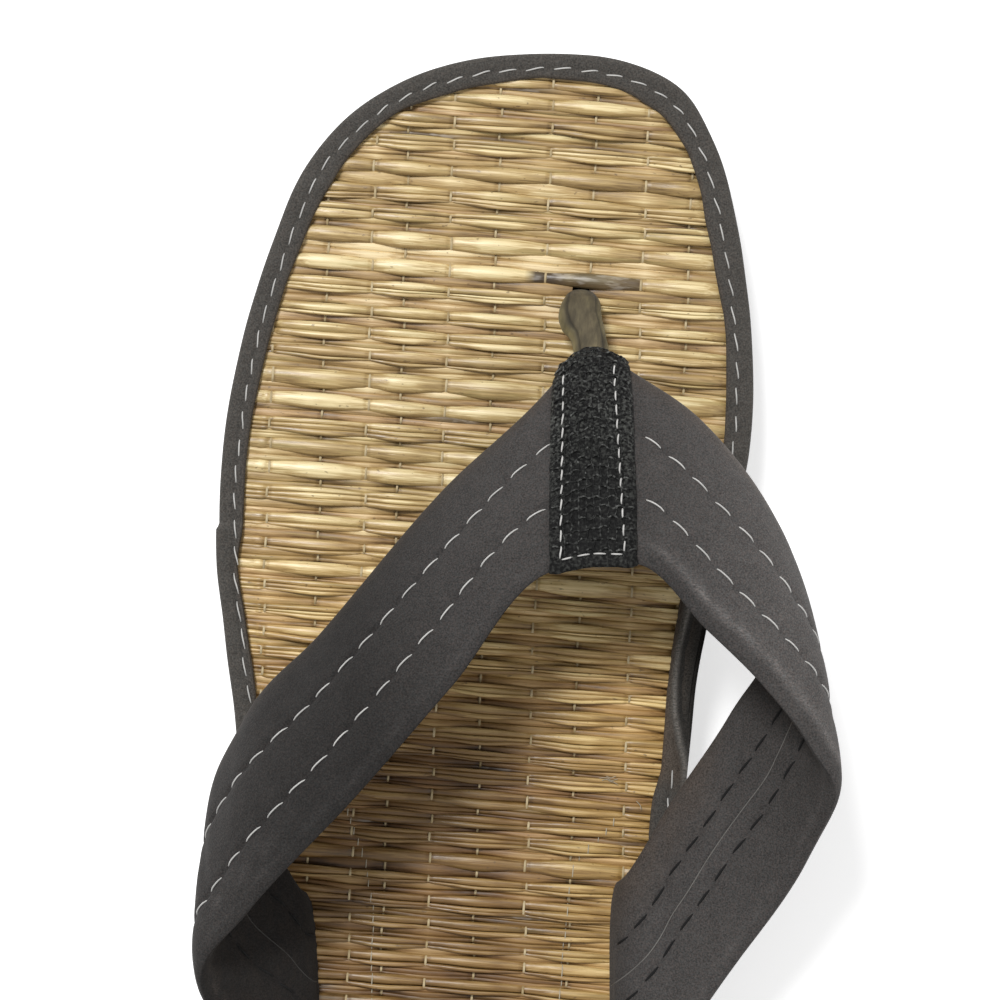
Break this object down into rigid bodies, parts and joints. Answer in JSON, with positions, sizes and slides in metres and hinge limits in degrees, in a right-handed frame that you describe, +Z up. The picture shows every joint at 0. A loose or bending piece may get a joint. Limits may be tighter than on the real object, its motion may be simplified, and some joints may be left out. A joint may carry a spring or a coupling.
{
  "type": "straw sandal",
  "caption": "Left thong sandal: woven straw footbed with a taped edge on a ribbed wedge sole, a padded V strap, a mesh tab and a suede toe thong.",
  "frame": {"origin": "on the floor under the middle of the heel, in the heel's contact face", "axes": "+Y to the toes along the sandal's length, +X to the inner side of the foot, +Z up"},
  "size_m": [0.1155, 0.2655, 0.0552],
  "materials": {
    "outsole_rubber": "matt black-brown rubber with cross grooves",
    "midsole_foam": "matt dark grey foam",
    "woven_straw": "satin dried straw stalks, plain weave",
    "binding_microfibre": "napped charcoal microfibre tape, white topstitch",
    "strap_microfibre": "napped charcoal microfibre, padded, white topstitch",
    "tab_mesh_fabric": "coarse black open mesh fabric",
    "thong_suede": "worn brown-grey suede tube"
  },
  "bodies": {
    "root": {"outsole": "outsole_rubber", "midsole": "midsole_foam", "straw_footbed": "woven_straw", "edge_binding": "binding_microfibre", "v_strap": "strap_microfibre", "thong_tab": "tab_mesh_fabric", "toe_thong": "thong_suede"}
  },
  "joints": []
}
